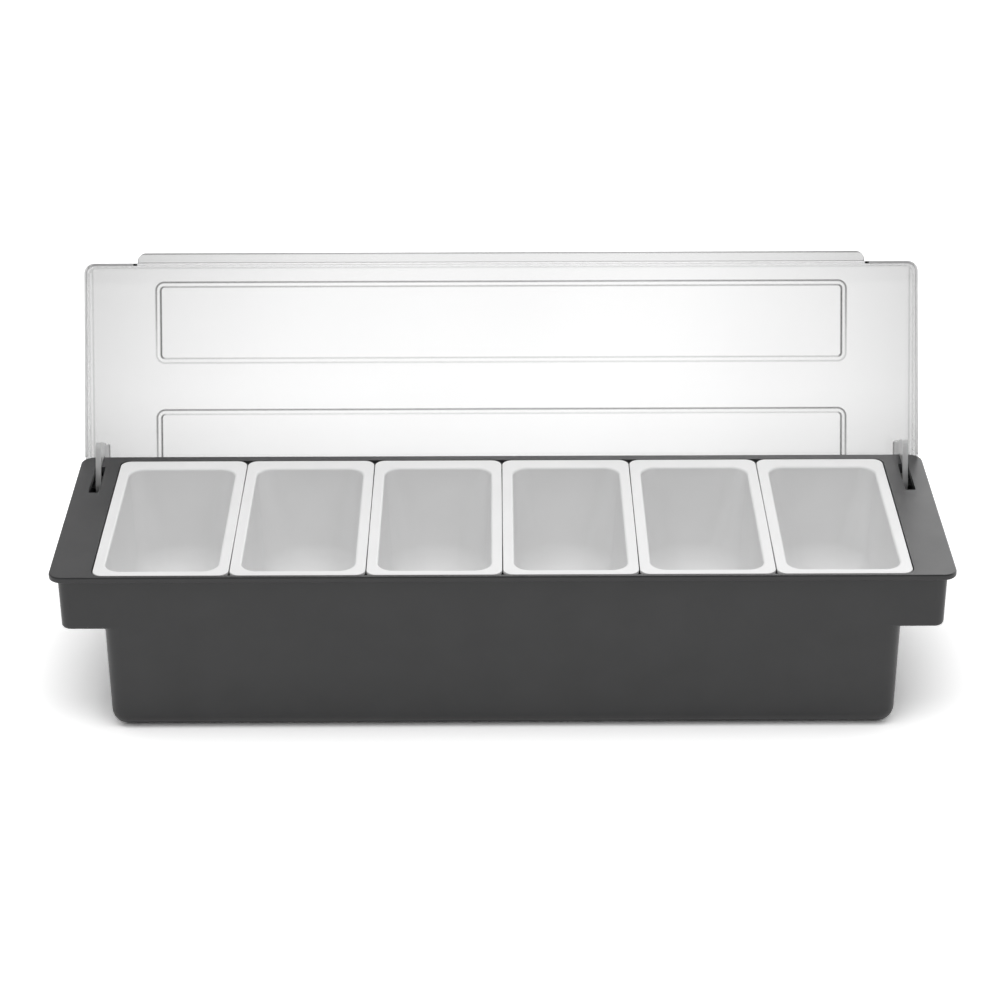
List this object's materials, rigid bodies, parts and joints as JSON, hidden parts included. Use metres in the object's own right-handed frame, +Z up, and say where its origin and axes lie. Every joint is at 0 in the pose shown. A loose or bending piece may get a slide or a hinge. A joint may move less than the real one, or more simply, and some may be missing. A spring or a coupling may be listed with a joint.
{
  "type": "bar garnish tray",
  "caption": "Long bar garnish tray: dark case with flat ends, a row of lift-out inserts and a clear hinged lid that stands open behind them.",
  "frame": {"origin": "Middle of the case's rim in plan, on the plane that the case's flat base rests on.", "axes": "+X along the row of inserts to the user's right, +Y from the user's side to the hinge side, +Z up out of the wells."},
  "size_m": [0.5, 0.2257, 0.2033],
  "materials": {
    "case_plastic": "moulded black, fine satin grain",
    "insert_plastic": "moulded white, half gloss",
    "lid_clear": "moulded clear, polished"
  },
  "bodies": {
    "case": {"case": "case_plastic"},
    "lid": {"lid": "lid_clear"},
    "insert_1": {"insert_1": "insert_plastic"},
    "insert_2": {"insert_2": "insert_plastic"},
    "insert_3": {"insert_3": "insert_plastic"},
    "insert_4": {"insert_4": "insert_plastic"},
    "insert_5": {"insert_5": "insert_plastic"},
    "insert_6": {"insert_6": "insert_plastic"}
  },
  "joints": [
    {"name": "lid_hinge", "type": "hinge", "parent": "case", "child": "lid", "pos_m": [0, 0.0622, 0.0888], "axis": [-1, 0, 0], "range_deg": [-115.4, 0]},
    {"name": "insert_1_lift", "type": "slide", "parent": "case", "child": "insert_1", "axis": [0, 0, 1], "range_m": [0, 0.11]},
    {"name": "insert_2_lift", "type": "slide", "parent": "case", "child": "insert_2", "axis": [0, 0, 1], "range_m": [0, 0.11]},
    {"name": "insert_3_lift", "type": "slide", "parent": "case", "child": "insert_3", "axis": [0, 0, 1], "range_m": [0, 0.11]},
    {"name": "insert_4_lift", "type": "slide", "parent": "case", "child": "insert_4", "axis": [0, 0, 1], "range_m": [0, 0.11]},
    {"name": "insert_5_lift", "type": "slide", "parent": "case", "child": "insert_5", "axis": [0, 0, 1], "range_m": [0, 0.11]},
    {"name": "insert_6_lift", "type": "slide", "parent": "case", "child": "insert_6", "axis": [0, 0, 1], "range_m": [0, 0.11]}
  ]
}
